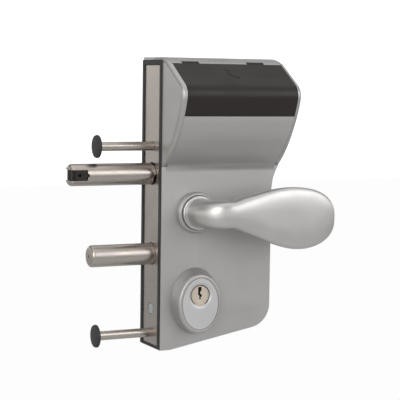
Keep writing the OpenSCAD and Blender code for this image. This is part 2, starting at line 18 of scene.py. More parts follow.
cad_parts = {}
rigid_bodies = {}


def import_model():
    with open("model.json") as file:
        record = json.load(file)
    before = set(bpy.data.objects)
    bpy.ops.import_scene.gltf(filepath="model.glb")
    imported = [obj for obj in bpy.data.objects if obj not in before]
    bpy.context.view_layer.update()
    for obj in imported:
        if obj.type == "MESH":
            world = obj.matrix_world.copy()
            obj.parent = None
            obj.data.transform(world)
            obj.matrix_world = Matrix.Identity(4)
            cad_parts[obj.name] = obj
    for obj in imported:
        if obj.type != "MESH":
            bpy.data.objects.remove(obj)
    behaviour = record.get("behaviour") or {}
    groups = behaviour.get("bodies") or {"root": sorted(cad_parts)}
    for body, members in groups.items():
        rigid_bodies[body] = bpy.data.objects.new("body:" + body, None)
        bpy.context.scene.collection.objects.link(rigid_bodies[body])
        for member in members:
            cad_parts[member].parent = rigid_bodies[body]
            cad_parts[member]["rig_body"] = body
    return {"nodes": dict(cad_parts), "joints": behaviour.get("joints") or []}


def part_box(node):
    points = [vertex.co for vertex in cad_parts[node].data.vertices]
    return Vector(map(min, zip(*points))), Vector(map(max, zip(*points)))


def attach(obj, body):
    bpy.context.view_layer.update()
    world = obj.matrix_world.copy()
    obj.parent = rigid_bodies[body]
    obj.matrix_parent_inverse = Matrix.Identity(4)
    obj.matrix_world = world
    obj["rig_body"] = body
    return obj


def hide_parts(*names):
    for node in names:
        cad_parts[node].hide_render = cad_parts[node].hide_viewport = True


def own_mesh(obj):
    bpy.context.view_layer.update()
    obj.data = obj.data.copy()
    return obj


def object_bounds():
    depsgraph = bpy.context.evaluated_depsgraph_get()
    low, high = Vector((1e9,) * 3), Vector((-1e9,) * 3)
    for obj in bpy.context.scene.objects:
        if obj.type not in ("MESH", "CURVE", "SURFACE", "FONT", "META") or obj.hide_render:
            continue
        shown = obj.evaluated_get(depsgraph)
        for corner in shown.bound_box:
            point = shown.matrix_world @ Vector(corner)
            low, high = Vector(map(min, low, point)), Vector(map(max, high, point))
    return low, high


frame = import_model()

MM = 0.001
SAME_POINT = 1e-6  # points closer than this, in metres, are one point
cad_box = [list(corner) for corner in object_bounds()]
nodes = frame["nodes"]
body_of_node = {n: o["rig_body"] for n, o in nodes.items()}

# %% [markdown]
# ## Where things are
#
# Every position is read from the frame: the handle's axis from its collar, the cylinder's axis from its plug
# and the middle of the oval rosette from its inlaid plate. The way a button moves is its joint's axis.

# %% Centres read from the frame


def middle(node):
    """The middle of a CAD node's box."""
    low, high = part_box(node)
    return (low + high) / 2


spindle = middle("front_handle_collar")
cylinder = middle("front_plug")
rose = middle("front_rosette_disc")
press = Vector(next(j for j in frame["joints"] if j["name"] == "button_1_press")["axis"])
print("spindle", tuple(spindle), "cylinder", tuple(cylinder), "press axis", tuple(press))

# %% [markdown]
# ## The camera
#
# The lock is seen from a little to its left and slightly above, with a long lens from more than a metre
# away, so its upright edges stay nearly parallel. The camera's three directions are given as they are,
# which also holds the small roll.

# %% Camera


def add_object(name, data):
    """Put the data into the scene as an object."""
    added = bpy.data.objects.new(name, data)
    bpy.context.scene.collection.objects.link(added)
    return added


right = Vector((0.89834, -0.43919, 0.01363))
up = Vector((0.02601, 0.08412, 0.99616))
forward = Vector((0.43859, 0.89447, -0.08698))
camera_data = bpy.data.cameras.new("camera")
camera_data.sensor_width = 36.0
camera_data.lens = 123.6
camera_data.clip_start = 0.05
camera = add_object("camera", camera_data)
camera.matrix_world = Matrix((
    (right.x, up.x, -forward.x, -0.49067),
    (right.y, up.y, -forward.y, -1.09947),
    (right.z, up.z, -forward.z, 0.11552),
    (0, 0, 0, 1)))
bpy.context.scene.camera = camera
print("camera at", tuple(camera.location), "lens", camera_data.lens)

# %% [markdown]
# ## Helpers for shapes
#
# Most metal pieces of a lock are turned, lofted or cut from plate. So there are three ways to a mesh here:
# a profile spun about an axis, rings bridged one to the next, and a copy of the measured piece whose sharp
# edges are rounded. All three end in one function that makes the object, rides it on its body and hides
# the measured piece it stands for.

# %% One place that turns a bmesh into a finished piece


def finish_piece(name, bm, finish, node, sharp=32, weighted=False, subdivision=0):
    """Make the object from bm, ride it on the body of its CAD node, and hide that node."""
    bmesh.ops.remove_doubles(bm, verts=bm.verts, dist=SAME_POINT)
    mesh = bpy.data.meshes.new(name)
    bm.to_mesh(mesh)
    bm.free()
    mesh.materials.append(finish)
    mesh.shade_smooth()
    mesh.set_sharp_from_angle(angle=radians(sharp))
    piece = add_object(name, mesh)
    if subdivision:
        smooth = piece.modifiers.new("smooth", "SUBSURF")
        smooth.levels = subdivision
        smooth.render_levels = subdivision
    if weighted:
        normals = piece.modifiers.new("normals", "WEIGHTED_NORMAL")
        normals.keep_sharp = True
        normals.weight = 90
    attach(piece, body_of_node[node])
    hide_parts(node)
    print(name, len(mesh.vertices), "vertices on", body_of_node[node])
    return piece


# %% A profile spun about an axis


def turn(bm, profile, place, steps=64):
    """Spin (radius, height) points about local Z, then put them in place."""
    before = set(bm.verts)
    line = [bm.verts.new((r * MM, 0, h * MM)) for r, h in profile]
    edges = [bm.edges.new(pair) for pair in zip(line, line[1:])]
    bmesh.ops.spin(bm, geom=line + edges, cent=(0, 0, 0), axis=(0, 0, 1), dvec=(0, 0, 0),
                   angle=radians(360), steps=steps, use_merge=True, use_normal_flip=False,
                   use_duplicate=False)
    shape = [v for v in bm.verts if v not in before]
    bmesh.ops.transform(bm, matrix=place, verts=shape)
    bmesh.ops.remove_doubles(bm, verts=shape, dist=SAME_POINT)
    bmesh.ops.recalc_face_normals(bm, faces=bm.faces)


def corner_arc(centre, radius, start, end, count=5):
    """Points of a rounded corner in a profile, between two angles in degrees."""
    angles = [radians(start + (end - start) * i / count) for i in range(count + 1)]
    return [(centre[0] + radius * cos(a), centre[1] + radius * sin(a)) for a in angles]


def towards_front(x, z, side=-1):
    """Local Z becomes the way out of the housing: -Y in front, +Y behind."""
    return Matrix.Translation((x, 0, z)) @ Matrix.Rotation(radians(90 if side < 0 else -90), 4, "X")


def towards_post(y, z):
    """Local Z becomes -X, the way the bolts leave."""
    return Matrix.Translation((0, y, z)) @ Matrix.Rotation(radians(-90), 4, "Y")


print("a rounded corner takes", len(corner_arc((0, 0), 1, 0, 90)), "points")

# %% Rings bridged one to the next


def loft(bm, rings, closed=False):
    """Draw out the first ring through all the others, and close both ends or join the last to the first."""
    current = bmesh.ops.create_circle(bm, cap_ends=False, radius=1, segments=len(rings[0]))["verts"]
    for v, p in zip(current, rings[0]):
        v.co = p
    first = current
    for points in rings[1:] + ([rings[0]] if closed else []):
        order = {v: i for i, v in enumerate(current)}
        edges = [e for v in current for e in v.link_edges if e.other_vert(v) in order]
        drawn = bmesh.ops.extrude_edge_only(bm, edges=list(dict.fromkeys(edges)))["geom"]
        current = [None] * len(points)
        for v in drawn:
            if isinstance(v, bmesh.types.BMVert):
                source = next(e.other_vert(v) for e in v.link_edges if e.other_vert(v) in order)
                current[order[source]] = v
        for v, p in zip(current, points):
            v.co = p
    if closed:
        bmesh.ops.remove_doubles(bm, verts=bm.verts, dist=SAME_POINT)
    else:
        for loop in (first, current):
            bm.faces.new(loop)
    bmesh.ops.recalc_face_normals(bm, faces=bm.faces)


def oval(half_x, half_z, y, z, count=64):
    """Points of an upright oval in millimetres, with its middle at height z in line with the rosette."""
    return [Vector((rose.x + half_x * MM * cos(radians(360 * i / count)), y * MM,
                    z * MM + half_z * MM * sin(radians(360 * i / count)))) for i in range(count)]


print("an oval takes", len(oval(1, 1, 0, 0)), "points")

# %% A copy of a measured piece with its edges rounded


def copy_of(node):
    """A merged copy of a CAD node's mesh, whose flat faces are whole again."""
    bm = bmesh.new()
    bm.from_mesh(nodes[node].data)
    bmesh.ops.remove_doubles(bm, verts=bm.verts, dist=2 * SAME_POINT)
    bmesh.ops.dissolve_limit(bm, angle_limit=radians(0.4), use_dissolve_boundaries=False, verts=bm.verts,
                             edges=bm.edges, delimit=set())
    return bm


def round_edges(bm, width, segments=2, over=40, where=None):
    """Bevel the edges that turn by more than `over` degrees and lie where they should."""
    bm.normal_update()
    chosen = [e for e in bm.edges if len(e.link_faces) == 2
              and e.calc_face_angle(0) > radians(over)
              and (where is None or where(*[v.co / MM for v in e.verts]))]
    if chosen:
        bmesh.ops.bevel(bm, geom=chosen, offset=width * MM, offset_type="OFFSET", affect="EDGES",
                        segments=segments, profile=0.5, clamp_overlap=True, material=-1)
    return len(chosen)


lid_copy = copy_of("lid")
print("the lid's merged copy has", len(lid_copy.faces), "faces")
lid_copy.free()

# %% [markdown]
# ## Finishes
#
# The housing is sprayed with a silver powder coat, whose fine flakes scatter the light. The lever is satin
# anodised aluminium, the bolts are turned stainless steel with faint rings, and the lid is moulded plastic
# with a fine spark-eroded grain. Each finish is a Principled shader. Noise at the real scale changes its
# colour and roughness a little and feeds a small bump, and edges that are rubbed by hands are lighter.

# %% Nodes that the finishes share
MIX_A, MIX_B, MIX_RESULT = 6, 7, 2  # the colour sockets of a Mix node
NOISE_LOW, NOISE_HIGH = 0.3, 0.7    # nearly all of a noise lies between these


def noise(tree, scale, detail, stretch=None):
    """A noise in the piece's own coordinates, drawn out along some axes if asked."""
    place = tree.nodes.new("ShaderNodeTexCoord").outputs["Object"]
    texture = tree.nodes.new("ShaderNodeTexNoise")
    texture.inputs["Scale"].default_value = scale
    texture.inputs["Detail"].default_value = detail
    if stretch:
        mapping = tree.nodes.new("ShaderNodeMapping")
        mapping.inputs["Scale"].default_value = stretch
        tree.links.new(place, mapping.inputs["Vector"])
        place = mapping.outputs["Vector"]
    tree.links.new(place, texture.inputs["Vector"])
    return texture.outputs["Fac"]


def ranged(tree, value, low_in, high_in, low_out, high_out):
    """Map a value from one range to another."""
    ramp = tree.nodes.new("ShaderNodeMapRange")
    ramp.inputs["From Min"].default_value = low_in
    ramp.inputs["From Max"].default_value = high_in
    ramp.inputs["To Min"].default_value = low_out
    ramp.inputs["To Max"].default_value = high_out
    tree.links.new(value, ramp.inputs["Value"])
    return ramp.outputs["Result"]


def mixed(tree, factor, a, b):
    """Mix two colours, each of them a socket or three numbers."""
    mix = tree.nodes.new("ShaderNodeMix")
    mix.data_type = "RGBA"
    if isinstance(factor, bpy.types.NodeSocket):
        tree.links.new(factor, mix.inputs["Factor"])
    else:
        mix.inputs["Factor"].default_value = factor
    for socket, value in ((mix.inputs[MIX_A], a), (mix.inputs[MIX_B], b)):
        if isinstance(value, bpy.types.NodeSocket):
            tree.links.new(value, socket)
        else:
            socket.default_value = (*value, 1)
    return mix.outputs[MIX_RESULT]


def scaled(colour, factor, lift=0.0):
    """A colour made lighter or darker, and no brighter than white."""
    return [min(1, c * factor + lift) for c in colour]


print("noise runs from", NOISE_LOW, "to", NOISE_HIGH)

# %% The finish builder
SPECK_DARK, SPECK_LIGHT = 0.93, 1.08     # how far the fine grain changes the colour
WORN_FROM, WORN_TO = 0.52, 0.62          # pointiness at which an edge starts and ends to look worn
WORN_GAIN, WORN_LIFT = 1.5, 0.04         # how much lighter a worn edge is
ROUGH_SPREAD = 0.06                      # how far the roughness wanders


def finish(name, colour, metallic, rough, grain=900, grain_depth=0.02, cloud=14, cloud_depth=0.05,
           wear=0.0, lines=None, specular=0.5):
    """A Principled material with cloudy colour, fine grain in the bump, and optional turned lines."""
    made = bpy.data.materials.new(name)
    made.use_nodes = True
    tree = made.node_tree
    shader = tree.nodes["Principled BSDF"]
    shader.inputs["Metallic"].default_value = metallic
    shader.inputs["Specular IOR Level"].default_value = specular
    fine = noise(tree, grain, 2)
    tint = mixed(tree, ranged(tree, noise(tree, cloud, 4), NOISE_LOW, NOISE_HIGH, 0, 1),
                 scaled(colour, 1 - cloud_depth), scaled(colour, 1 + cloud_depth))
    speck = mixed(tree, ranged(tree, fine, NOISE_LOW, NOISE_HIGH, 0, 1),
                  scaled(colour, SPECK_DARK), scaled(colour, SPECK_LIGHT))
    result = mixed(tree, 0.5, tint, speck)
    if wear:
        edges = tree.nodes.new("ShaderNodeNewGeometry").outputs["Pointiness"]
        result = mixed(tree, ranged(tree, edges, WORN_FROM, WORN_TO, 0, wear), result,
                       scaled(colour, WORN_GAIN, WORN_LIFT))
    tree.links.new(result, shader.inputs["Base Color"])
    uneven = ranged(tree, noise(tree, cloud * 3, 3), NOISE_LOW, NOISE_HIGH,
                    rough - ROUGH_SPREAD, rough + ROUGH_SPREAD)
    tree.links.new(uneven, shader.inputs["Roughness"])
    bump = tree.nodes.new("ShaderNodeBump")
    bump.inputs["Strength"].default_value = 1.0
    bump.inputs["Distance"].default_value = grain_depth * MM
    tree.links.new(noise(tree, *lines) if lines else fine, bump.inputs["Height"])
    tree.links.new(bump.outputs["Normal"], shader.inputs["Normal"])
    print("finish", name, "roughness about", rough)
    return made


# %% All finishes of the lock
silver_coat = finish("silver_coat", (0.40, 0.395, 0.39), 0.75, 0.42, grain=2600, grain_depth=0.008,
                     wear=0.25)
satin_aluminium = finish("satin_aluminium", (0.53, 0.52, 0.51), 0.95, 0.38, grain=3200, grain_depth=0.004)
bright_plate = finish("bright_plate", (0.52, 0.52, 0.525), 0.6, 0.42, grain=3000, grain_depth=0.004)
black_plastic = finish("black_plastic", (0.013, 0.0095, 0.008), 0.0, 0.42, grain=2400, grain_depth=0.006,
                       cloud_depth=0.15, specular=0.33)
black_rubber = finish("black_rubber", (0.016, 0.016, 0.017), 0.0, 0.62, grain=1800, grain_depth=0.03,
                      cloud_depth=0.2)
stainless = finish("stainless", (0.44, 0.40, 0.365), 1.0, 0.29, cloud_depth=0.08, grain_depth=0.006,
                   lines=(60, 3, (90, 2, 2)))
zinc_steel = finish("zinc_steel", (0.55, 0.57, 0.60), 1.0, 0.36, cloud=40, cloud_depth=0.12, grain=1500,
                    grain_depth=0.015)
nickel_brass = finish("nickel_brass", (0.74, 0.64, 0.54), 1.0, 0.30, cloud_depth=0.06, grain_depth=0.006,
                      wear=0.3, lines=(80, 3, (2, 60, 2)))
keypad_grey = finish("keypad_grey", (0.20, 0.205, 0.21), 0.1, 0.5, grain=2000, grain_depth=0.02)
button_metal = finish("button_metal", (0.66, 0.66, 0.67), 0.9, 0.28, grain=2600, grain_depth=0.006,
                      wear=0.3)
digit_paint = finish("digit_paint", (0.03, 0.03, 0.032), 0.0, 0.5, grain=2000, grain_depth=0.01)

# %% [markdown]
# ## Housing
#
# The housing is a pressed shell, and its front edges are softly rounded where the flat face turns into the
# sides. The measured shell already has the right form, so a merged copy is taken and only the edges along
# the outline are bevelled. Normals weighted by area keep the large flat faces calm beside the curved head.

# %% Front and rear shells
FACE_DEPTH = 20.95       # just short of the plate's face, measured from the middle of the lock
SPINDLE_ROOM, ROSETTE_ROOM, SCREW_ROOM = 15, 25, 9
HEAD_FOOT = 50           # the front's edges above this height belong to the head
ROUNDING = 1.6

screw_centres = []
for v in nodes["cover_screws"].data.vertices:
    if all((v.co.xz - c).length > SCREW_ROOM * MM for c in screw_centres):
        screw_centres.append(v.co.xz.copy())
print("screws found:", len(screw_centres))


def away_from(point, centre, room):
    """Whether a point in millimetres is further from an axis along Y than the room it needs."""
    return (point.x - centre.x / MM) ** 2 + (point.z - centre.z / MM) ** 2 > room ** 2


def on_outline(side):
    """A test for edges that run round the face of the plate, away from its holes."""
    def test(a, b):
        if side * a.y < FACE_DEPTH or side * b.y < FACE_DEPTH:
            return False
        m = (a + b) / 2
        on_screw = any((m.xz * MM - c).length < SCREW_ROOM * MM for c in screw_centres)
        on_head = m.z > HEAD_FOOT and side < 0
        clear = away_from(m, spindle, SPINDLE_ROOM) and away_from(m, rose, ROSETTE_ROOM)
        return clear and not on_screw and not on_head
    return test


for name, side in (("front", -1), ("rear", 1)):
    shell = copy_of(name + "_cover")
    print(name, "edges rounded:", round_edges(shell, ROUNDING, 4, 60, on_outline(side)))
    finish_piece(name + "_cover_shell", shell, silver_coat, name + "_cover",
                 weighted=True)

# %% [markdown]
# The head is closed by two cheeks. Each has a flat side and a broad rounded rim that catches a thin line of
# light. The outline is read from the measured cheek, and the rim is a loft of it: copies of the outline step
# outwards and inwards along a quarter circle. The circle gets smaller towards the foot, where the cheek runs
# out on the plate.

# %% Outline of a cheek
RIM_FOOT, RIM_GAIN, RIM_LENGTH = 1.2, 2.6, 30   # radius at the foot, what it gains, over what height

cheek_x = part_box("right_end_cap")[1].x
outline_bm = copy_of("right_end_cap")
for stray in [v for v in outline_bm.verts if abs(v.co.x - cheek_x) > 0.01 * MM]:
    outline_bm.verts.remove(stray)
flat_side = max(outline_bm.faces, key=lambda f: f.calc_area())
cheek_outline = []
for v in flat_side.verts:
    if not cheek_outline or (v.co - cheek_outline[-1]).length > 0.5 * MM:
        cheek_outline.append(v.co.copy())
outline_bm.free()
cheek_foot = min(p.z for p in cheek_outline)
cheek_back = max(p.y for p in cheek_outline)
cheek_middle = sum(cheek_outline, Vector()) / len(cheek_outline)
print("points round a cheek:", len(cheek_outline), "foot at", cheek_foot)


def rim_radius(p):
    """The rounding narrows towards the foot, where the cheek runs out on the plate."""
    return (RIM_FOOT + RIM_GAIN * min(1, (p.z - cheek_foot) / (RIM_LENGTH * MM))) * MM


def edge_way(a, b):
    """The inward direction of an outline edge, and 1 if the edge is rounded."""
    along = (b - a).normalized()
    inwards = Vector((0, -along.z, along.y))
    if inwards.dot(cheek_middle - a) < 0:
        inwards = -inwards
    at_back = min(a.y, b.y) > cheek_back - 0.1 * MM
    at_foot = max(a.z, b.z) < cheek_foot + 0.3 * MM
    return inwards, 0 if at_back or at_foot else 1


# %% Rounded rim of a cheek


def rim_point(i, share):
    """Point i of the outline moved in by a share of its rounding, square to both of its edges."""
    before, p = cheek_outline[i - 1], cheek_outline[i]
    after = cheek_outline[(i + 1) % len(cheek_outline)]
    (n1, round1), (n2, round2) = edge_way(before, p), edge_way(p, after)
    distance = rim_radius(p) * share
    cross = n1.y * n2.z - n1.z * n2.y
    if abs(cross) < 0.02:
        return p + n1 * distance * round1
    a, b = distance * round1, distance * round2
    return p + Vector((0, (a * n2.z - b * n1.z) / cross, (b * n1.y - a * n2.y) / cross))


def cheek(inner_x, outer_x):
    """A cheek from its inner to its outer side, with a quarter-round rim along the front."""
    bm = bmesh.new()
    way = 1 if outer_x > inner_x else -1
    rings = [[Vector((inner_x, p.y, p.z)) for p in cheek_outline]]
    for a in (0, 15, 30, 45, 60, 75, 90):
        moved = [rim_point(i, 1 - cos(radians(a))) for i in range(len(cheek_outline))]
        rings.append([Vector((outer_x - rim_radius(p) * way * (1 - sin(radians(a))), q.y, q.z))
                      for p, q in zip(cheek_outline, moved)])
    loft(bm, rings)
    return bm


def slice_plane(bm, point, way, clear=False):
    """Cut along a plane, and clear what lies on the side of `way` if asked."""
    bmesh.ops.bisect_plane(bm, geom=bm.verts[:] + bm.edges[:] + bm.faces[:], dist=1e-7, plane_co=point,
                           plane_no=way, clear_outer=clear)


def close_holes(bm):
    """Fill every open rim with a face."""
    bmesh.ops.holes_fill(bm, edges=[e for e in bm.edges if len(e.link_faces) == 1], sides=0)


print("the rim's radius runs from", RIM_FOOT, "to", RIM_FOOT + RIM_GAIN, "mm")

# %% [markdown]
# The left cheek leaves room for the faceplate, so it is made of two cut copies: one in front of the pocket
# and one above it.

# %% Both cheeks
POCKET_FRONT, POCKET_TOP = -16.3 * MM, 128.3 * MM
right_low, right_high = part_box("right_end_cap")
left_low, left_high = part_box("left_end_cap")
finish_piece("right_cheek", cheek(right_low.x, right_high.x), silver_coat,
             "right_end_cap", weighted=True, sharp=50)
left_bm = cheek(left_high.x, left_low.x)
slice_plane(left_bm, (0, POCKET_FRONT, 0), (0, 1, 0), clear=True)
close_holes(left_bm)
top_bm = cheek(left_high.x, left_low.x)
for point, way in (((0, POCKET_FRONT, 0), (0, -1, 0)), ((0, 0, POCKET_TOP), (0, 0, -1))):
    slice_plane(top_bm, point, way, clear=True)
    close_holes(top_bm)
top_mesh = bpy.data.meshes.new("top_part")
top_bm.to_mesh(top_mesh)
top_bm.free()
left_bm.from_mesh(top_mesh)
bmesh.ops.recalc_face_normals(left_bm, faces=left_bm.faces)
finish_piece("left_cheek", left_bm, silver_coat, "left_end_cap", weighted=True,
             sharp=50)

# %% [markdown]
# ## Lid
#
# The keypad hides under a black moulded lid that hinges on a thin pin. Its shell is the measured one with
# its edges broken. A small moulded arrow shows which way it opens: a spun arc of a ring with a head, made
# thick and laid on the sloping part of the lid.

# %% Lid and its arrow
LID_SLOPE = radians(33)
ARROW_RADII = (7.3, 8.7)
ARROW_HEAD = ((5.6, 0), (10.4, 0), (8, -3.8))
ARROW_THICK = 0.4
ARROW_SHIFT = 3.1                      # sideways, from the middle of the hinge
ARROW_DOWN, ARROW_OUT = -14.8, 1.4     # along the lid's slope and out of it, from the hinge

lid_bm = copy_of("lid")
print("lid edges rounded:", round_edges(lid_bm, 0.5, 3, 50))
finish_piece("lid_shell", lid_bm, black_plastic, "lid", weighted=True)

hinge = middle("lid_hinge_pin")
arrow_bm = bmesh.new()
band = [arrow_bm.verts.new((r * MM, 0, 0)) for r in ARROW_RADII]
bmesh.ops.spin(arrow_bm, geom=band + [arrow_bm.edges.new(band)], cent=(0, 0, 0), axis=(0, 0, 1),
               dvec=(0, 0, 0), angle=radians(110), steps=14, use_merge=False, use_normal_flip=False,
               use_duplicate=False)
arrow_bm.faces.new([arrow_bm.verts.new((x * MM, y * MM, 0)) for x, y in ARROW_HEAD])
bmesh.ops.remove_doubles(arrow_bm, verts=arrow_bm.verts, dist=SAME_POINT)
bmesh.ops.recalc_face_normals(arrow_bm, faces=arrow_bm.faces)
raised = bmesh.ops.extrude_face_region(arrow_bm, geom=list(arrow_bm.faces))
bmesh.ops.translate(arrow_bm, vec=(0, 0, ARROW_THICK * MM),
                    verts=[v for v in raised["geom"] if isinstance(v, bmesh.types.BMVert)])
bmesh.ops.recalc_face_normals(arrow_bm, faces=arrow_bm.faces)
on_lid = (Matrix.Translation((hinge.x + ARROW_SHIFT * MM, hinge.y, hinge.z))
          @ Matrix.Rotation(LID_SLOPE, 4, "X") @ Matrix.Translation((0, ARROW_DOWN * MM, ARROW_OUT * MM))
          @ Matrix.Rotation(radians(160), 4, "Z"))
bmesh.ops.transform(arrow_bm, matrix=on_lid, verts=arrow_bm.verts)
arrow_mesh = bpy.data.meshes.new("lid_arrow")
arrow_bm.to_mesh(arrow_mesh)
arrow_bm.free()
arrow_mesh.materials.append(black_plastic)
lid_arrow = add_object("lid_arrow", arrow_mesh)
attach(lid_arrow, body_of_node["lid"])
print("arrow on the lid at", tuple(on_lid.translation))

# %% [markdown]
# ## Lever handles
#
# The lever grows out of a round neck, bends by a quarter turn and widens into a flat paddle with soft edges.
# Such a form is a loft: cross-sections are set along the bent line, a circle at the neck that turns into a
# wide rounded slab, and neighbouring sections are joined. Subdivision then makes the skin smooth. The rear
# lever is the same one mirrored.

# %% Sections of the lever
NECK_R, NECK_START, NECK_END, REACH = 12.4, 29.0, 42.0, 60.0
ARM_DEPTH, ARM_HALF = 9.6, 12.0
PADDLE_X, TIP_X, PADDLE_DEPTH, PADDLE_HALF = 113.0, 152.0, 7.5, 27.5
TIP_ROUND = 2.2          # exponent of the paddle's outline at its tip; 2 would be an ellipse
BEND_R = REACH - NECK_END
axis_x = spindle.x / MM
bend_x = axis_x + BEND_R


def ease(t):
    """A soft step from 0 to 1."""
    t = min(max(t, 0), 1)
    return t * t * (3 - 2 * t)


def power(value, exponent):
    """A power that keeps the sign."""
    return (1 if value >= 0 else -1) * abs(value) ** exponent


def lever_section(x, y, turn_deg, across, tall, rise, squareness, side, count=32):
    """One cross-section: half depth `across`, half height `tall`, in the plane turned by turn_deg."""
    points = []
    for k in range(count):
        a = radians(360 * (k + 0.5) / count)
        s = across * power(cos(a), squareness)
        u = tall * power(sin(a), 0.5 + squareness / 2)
        points.append(Vector(((x + s * cos(radians(turn_deg))) * MM,
                              side * (y - s * sin(radians(turn_deg))) * MM, (u + rise) * MM)))
    return points


def half_height(x):
    """Half the lever's height, from the arm to the round tip."""
    if x < PADDLE_X:
        return ARM_HALF + (PADDLE_HALF - ARM_HALF) * ease((x - 38) / (PADDLE_X - 38))
    return PADDLE_HALF * (1 - ((x - PADDLE_X) / (TIP_X - PADDLE_X)) ** TIP_ROUND) ** (1 / TIP_ROUND)


def half_depth(x):
    """Half the lever's thickness, which falls off only close to the tip."""
    if x < PADDLE_X:
        return ARM_DEPTH - (ARM_DEPTH - PADDLE_DEPTH) * ease((x - bend_x) / 50)
    return PADDLE_DEPTH * (1 - ((x - PADDLE_X) / (TIP_X - PADDLE_X)) ** 6) ** 0.5


def middle_rise(x):
    """How far the middle of the lever lies above the spindle."""
    return 1.2 - 5.5 * ease((x - 45) / 80)


def squareness_at(x):
    """The exponent of a section: 1 is an ellipse, and less is squarer."""
    return 0.6 - 0.15 * ease((x - bend_x) / 40)


def bend_ring(t, side):
    """A section at the share t of the quarter bend."""
    return lever_section(
        bend_x - BEND_R * cos(radians(90 * t)), NECK_END + BEND_R * sin(radians(90 * t)), 90 * t,
        NECK_R + (ARM_DEPTH - NECK_R) * ease(t), NECK_R - 0.4 * t, 0.3 + 0.85 * t,
        1 - 0.4 * ease(1.3 * t), side)


def lever_rings(side):
    """All sections of a lever, from inside its collar to the tip."""
    rings = [lever_section(axis_x, y, 0, NECK_R, NECK_R, 0.3 * max(0, y - NECK_START) / 7, 1, side)
             for y in (28.4, 29.4, 36)]
    rings += [bend_ring(i / 8, side) for i in range(9)]
    along = [bend_x + (PADDLE_X - bend_x) * i / 12 for i in range(1, 13)]
    along += [PADDLE_X + (TIP_X - PADDLE_X) * sin(radians(8.4 * i)) for i in range(1, 11)]
    rings += [lever_section(x, REACH, 90, half_depth(x), half_height(x), middle_rise(x),
                            squareness_at(x), side) for x in along]
    return rings


print("sections in a lever:", len(lever_rings(1)))

# %% Both levers, each with the flange that turns in its collar
flange = [(0, 22.3), (14.3, 22.3)] + corner_arc((14.3, 23.1), 0.8, -90, 0, 3) \
    + corner_arc((13.9, 28.4), 1.2, 0, 90, 5) + [(12.9, 29.6), (12.45, 30.1), (12.0, 31), (0, 31)]
for name, side in (("front", -1), ("rear", 1)):
    lever_bm = bmesh.new()
    loft(lever_bm, lever_rings(side))
    finish_piece(name + "_lever", lever_bm, satin_aluminium, name + "_handle",
                 sharp=60, subdivision=2)
    flange_bm = bmesh.new()
    turn(flange_bm, flange, towards_front(spindle.x, spindle.z, side), 72)
    finish_piece(name + "_lever_flange", flange_bm, satin_aluminium, name + "_handle",
                 sharp=40)
    collar_bm = bmesh.new()
    collar = [(15.4, 21.0), (18.3, 21.0)] + corner_arc((17.3, 24.4), 1.0, 0, 40, 3) \
        + corner_arc((16.4, 26.1), 0.9, 50, 90, 4) + [(15.7, 27.0), (15.4, 26.7), (15.4, 21.0)]
    turn(collar_bm, collar, towards_front(spindle.x, spindle.z, side), 72)
    finish_piece(name + "_collar", collar_bm, silver_coat, name + "_handle_collar",
                 sharp=40)

# %% [markdown]
# ## Cylinder rosettes
#
# The rosette is a tapering oval of cast metal with a thin bright plate let into its face. Ovals of changing
# size are joined from the housing outwards, over a rounded rim and down into the recess. The last ring is
# the round hole round the cylinder, which sits higher than the middle of the oval.

# %% Rosettes and the inlaid plate
low_z, face_z = -78.0, rose.z / MM    # the middle of the oval at the housing and at its face
hole_z = cylinder.z / MM


def rosette_rings(side, inlay):
    """The ovals of a rosette; with an inlay its face has a pocket for the bright plate."""
    steps = [(22.8, 29.3, 21.0, low_z), (22.8, 29.3, 21.8, low_z), (22.75, 29.2, 22.8, low_z - 0.1),
             (22.3, 28.6, 24.2, low_z - 0.3), (21.6, 27.7, 27.2, low_z - 0.8), (21.0, 26.9, 30.6, face_z),
             (20.8, 26.6, 32.2, face_z), (20.4, 26.1, 33.4, face_z), (19.7, 25.3, 34.1, face_z),
             (19.0, 24.5, 34.38, face_z), (18.0, 23.4, 34.4, face_z)]
    if inlay:
        steps += [(17.65, 23.05, 34.3, face_z), (17.6, 23.0, 33.2, face_z), (9.25, 9.25, 33.2, hole_z)]
    else:
        steps += [(10.2, 10.2, 34.4, hole_z), (9.25, 9.25, 33.6, hole_z)]
    steps += [(9.25, 9.25, 26, hole_z), (9.25, 9.25, 21.1, hole_z)]
    return [oval(a, b, side * y, z) for a, b, y, z in steps]


for name, side in (("front", -1), ("rear", 1)):
    rosette_bm = bmesh.new()
    loft(rosette_bm, rosette_rings(side, side < 0), closed=True)
    finish_piece(name + "_rosette_cast", rosette_bm, silver_coat, name + "_rosette",
                 sharp=38)
inlay_bm = bmesh.new()
inlay = [(17.3, 22.7, 33.3, face_z), (17.3, 22.7, 34.0, face_z), (17.2, 22.6, 34.25, face_z),
         (16.9, 22.3, 34.4, face_z), (14.2, 16.6, 34.4, (face_z + hole_z) / 2), (11.3, 11.3, 34.4, hole_z),
         (10.9, 10.9, 34.25, hole_z), (9.5, 9.5, 33.45, hole_z), (9.3, 9.3, 33.3, hole_z)]
loft(inlay_bm, [oval(a, b, -y, z) for a, b, y, z in inlay], closed=True)
finish_piece("rosette_plate", inlay_bm, bright_plate, "front_rosette_disc",
             sharp=18)

# %% [markdown]
# ## Small metal pieces
#
# Turned and cut pieces keep their measured form. Their copies get a fine break on each sharp edge, because
# real edges are never perfectly sharp and a thin bright line along them is what makes metal look solid.

